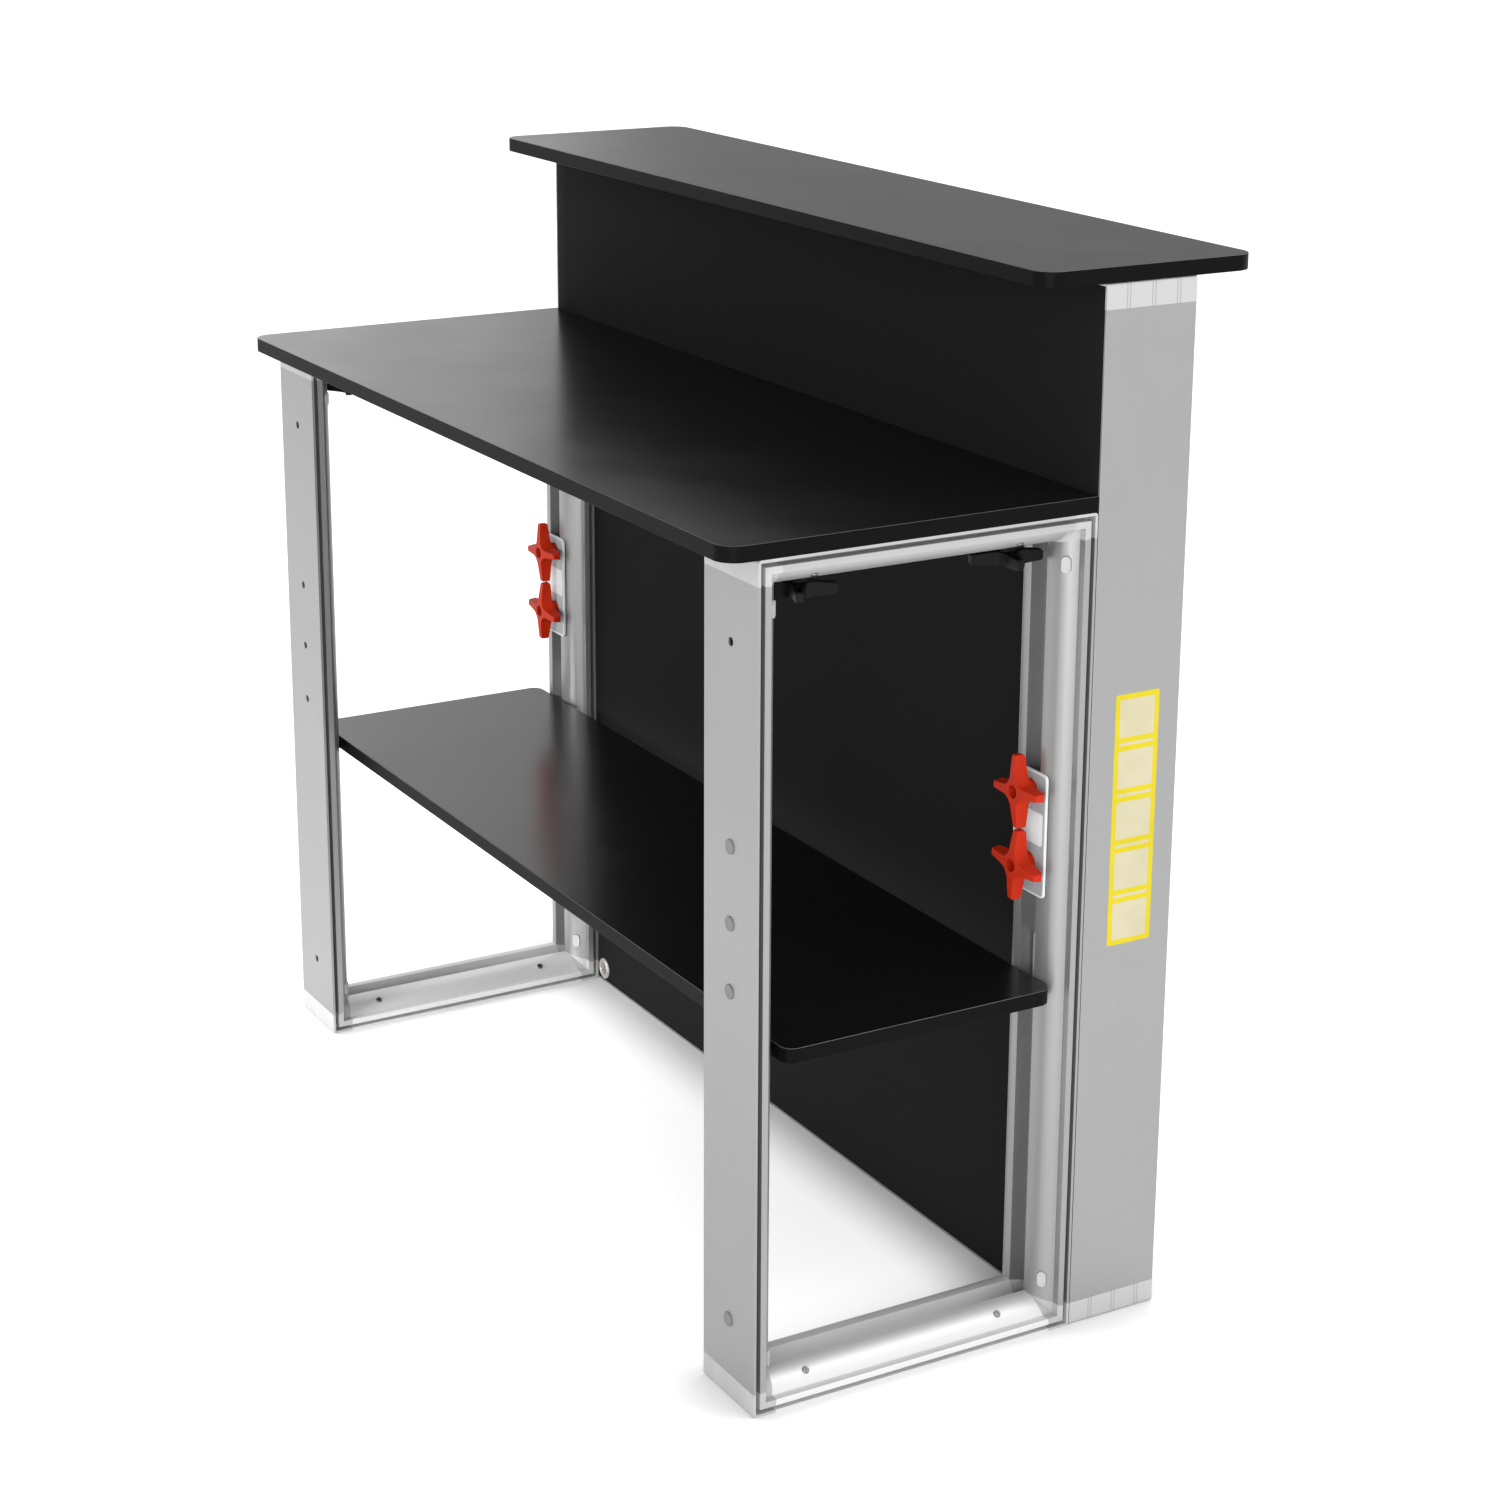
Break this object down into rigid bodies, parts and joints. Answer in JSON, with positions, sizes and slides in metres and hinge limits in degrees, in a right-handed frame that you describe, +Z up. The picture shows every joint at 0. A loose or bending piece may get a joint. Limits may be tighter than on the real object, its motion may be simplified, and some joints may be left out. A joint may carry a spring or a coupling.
{
  "type": "illuminated counter",
  "caption": "Knock-down bar counter: a tall lit textile box with a narrow top in front, and open aluminium side frames behind that carry a worktop and a shelf.",
  "frame": {"origin": "on the floor, at the centre of the counter's outline", "axes": "+Z up; the public, lit side faces -Y and the operator stands on the +Y side; +X runs along the counter to the end with the power socket"},
  "size_m": [1.16, 0.589, 1.1],
  "materials": {
    "profile": "natural anodised extrusion, satin with fine lengthwise lines",
    "corner_moulding": "light grey injection moulding, fine satin texture",
    "board": "particle board faced with black fine-textured laminate and edge band",
    "black_textile": "black opaque stretched polyester textile with a sewn silicone edge strip",
    "lit_textile": "plain white stretched polyester textile, lit from inside",
    "lamp": "lamp bars with light-emitting diodes and lenses",
    "supply_case": "grey sheet-metal case",
    "socket_metal": "bright metal panel socket",
    "anchor": "milled aluminium bracket",
    "clamp_plate": "white moulded plate with raised rim",
    "insert": "threaded brass insert",
    "bracket": "bent zinc-plated steel strip",
    "bolt": "zinc-plated button-head bolt",
    "cap": "grey push-in cap",
    "screw": "zinc-plated pan-head cross-recess screw",
    "red_knob": "orange-red glass-filled nylon, satin",
    "black_knob": "black glass-filled nylon, satin",
    "lock_button": "light grey acetal"
  },
  "bodies": {
    "counter": {"box_post_near": "profile", "box_post_far": "profile", "box_rail_top": "profile", "box_rail_bottom": "profile", "box_corner_top_near": "corner_moulding", "box_corner_top_far": "corner_moulding", "box_corner_bottom_near": "corner_moulding", "box_corner_bottom_far": "corner_moulding", "back_textile": "black_textile", "front_textile": "lit_textile", "lamp_bars": "lamp", "power_supply": "supply_case", "power_socket": "socket_metal", "anchor_near": "anchor", "anchor_far": "anchor", "near_post_box": "profile", "near_post_user": "profile", "near_rail_top": "profile", "near_rail_bottom": "profile", "near_corner_box_top": "corner_moulding", "near_corner_box_bottom": "corner_moulding", "near_corner_user_top": "corner_moulding", "near_corner_user_bottom": "corner_moulding", "far_post_box": "profile", "far_post_user": "profile", "far_rail_top": "profile", "far_rail_bottom": "profile", "far_corner_box_top": "corner_moulding", "far_corner_box_bottom": "corner_moulding", "far_corner_user_top": "corner_moulding", "far_corner_user_bottom": "corner_moulding", "clamp_plate_near": "clamp_plate", "clamp_plate_far": "clamp_plate", "worktop": "board", "bar_top": "board", "shelf": "board", "worktop_inserts": "insert", "shelf_brackets_near": "bracket", "shelf_brackets_far": "bracket", "bracket_bolts": "bolt", "hole_caps": "cap", "rail_screws": "screw"},
    "clamp_knob_near_low": {"clamp_knob_near_low": "red_knob"},
    "clamp_knob_near_high": {"clamp_knob_near_high": "red_knob"},
    "clamp_knob_far_low": {"clamp_knob_far_low": "red_knob"},
    "clamp_knob_far_high": {"clamp_knob_far_high": "red_knob"},
    "top_knob_near_box": {"top_knob_near_box": "black_knob"},
    "top_knob_near_user": {"top_knob_near_user": "black_knob"},
    "top_knob_far_box": {"top_knob_far_box": "black_knob"},
    "top_knob_far_user": {"top_knob_far_user": "black_knob"},
    "button_near_box_low": {"button_near_box_low": "lock_button"},
    "button_near_box_high": {"button_near_box_high": "lock_button"},
    "button_near_user_low": {"button_near_user_low": "lock_button"},
    "button_near_user_high": {"button_near_user_high": "lock_button"},
    "button_far_box_low": {"button_far_box_low": "lock_button"},
    "button_far_box_high": {"button_far_box_high": "lock_button"},
    "button_far_user_low": {"button_far_user_low": "lock_button"},
    "button_far_user_high": {"button_far_user_high": "lock_button"}
  },
  "joints": [
    {"name": "clamp_knob_near_low_turn", "type": "hinge", "parent": "counter", "child": "clamp_knob_near_low", "pos_m": [-0.53, -0.0705, 0.499], "axis": [0, 1, 0], "range_deg": [0, 405]},
    {"name": "clamp_knob_near_high_turn", "type": "hinge", "parent": "counter", "child": "clamp_knob_near_high", "pos_m": [-0.53, -0.0705, 0.576], "axis": [0, 1, 0], "range_deg": [0, 405]},
    {"name": "top_knob_near_box_turn", "type": "hinge", "parent": "counter", "child": "top_knob_near_box", "pos_m": [-0.53, -0.0445, 0.822], "axis": [0, 0, -1], "range_deg": [0, 405]},
    {"name": "top_knob_near_user_turn", "type": "hinge", "parent": "counter", "child": "top_knob_near_user", "pos_m": [-0.53, 0.1885, 0.822], "axis": [0, 0, -1], "range_deg": [0, 405]},
    {"name": "clamp_knob_far_low_turn", "type": "hinge", "parent": "counter", "child": "clamp_knob_far_low", "pos_m": [0.53, -0.0705, 0.499], "axis": [0, 1, 0], "range_deg": [0, 405]},
    {"name": "clamp_knob_far_high_turn", "type": "hinge", "parent": "counter", "child": "clamp_knob_far_high", "pos_m": [0.53, -0.0705, 0.576], "axis": [0, 1, 0], "range_deg": [0, 405]},
    {"name": "top_knob_far_box_turn", "type": "hinge", "parent": "counter", "child": "top_knob_far_box", "pos_m": [0.53, -0.0445, 0.822], "axis": [0, 0, -1], "range_deg": [0, 405]},
    {"name": "top_knob_far_user_turn", "type": "hinge", "parent": "counter", "child": "top_knob_far_user", "pos_m": [0.53, 0.1885, 0.822], "axis": [0, 0, -1], "range_deg": [0, 405]},
    {"name": "button_near_box_low_press", "type": "slide", "parent": "counter", "child": "button_near_box_low", "axis": [0.6691, -0.7431, 0], "range_m": [0, 0.004], "stiffness_N_per_m": 800},
    {"name": "button_near_box_high_press", "type": "slide", "parent": "counter", "child": "button_near_box_high", "axis": [0.6691, -0.7431, 0], "range_m": [0, 0.004], "stiffness_N_per_m": 800},
    {"name": "button_near_user_low_press", "type": "slide", "parent": "counter", "child": "button_near_user_low", "axis": [0.6691, 0.7431, 0], "range_m": [0, 0.004], "stiffness_N_per_m": 800},
    {"name": "button_near_user_high_press", "type": "slide", "parent": "counter", "child": "button_near_user_high", "axis": [0.6691, 0.7431, 0], "range_m": [0, 0.004], "stiffness_N_per_m": 800},
    {"name": "button_far_box_low_press", "type": "slide", "parent": "counter", "child": "button_far_box_low", "axis": [0.6691, -0.7431, 0], "range_m": [0, 0.004], "stiffness_N_per_m": 800},
    {"name": "button_far_box_high_press", "type": "slide", "parent": "counter", "child": "button_far_box_high", "axis": [0.6691, -0.7431, 0], "range_m": [0, 0.004], "stiffness_N_per_m": 800},
    {"name": "button_far_user_low_press", "type": "slide", "parent": "counter", "child": "button_far_user_low", "axis": [0.6691, 0.7431, 0], "range_m": [0, 0.004], "stiffness_N_per_m": 800},
    {"name": "button_far_user_high_press", "type": "slide", "parent": "counter", "child": "button_far_user_high", "axis": [0.6691, 0.7431, 0], "range_m": [0, 0.004], "stiffness_N_per_m": 800}
  ]
}
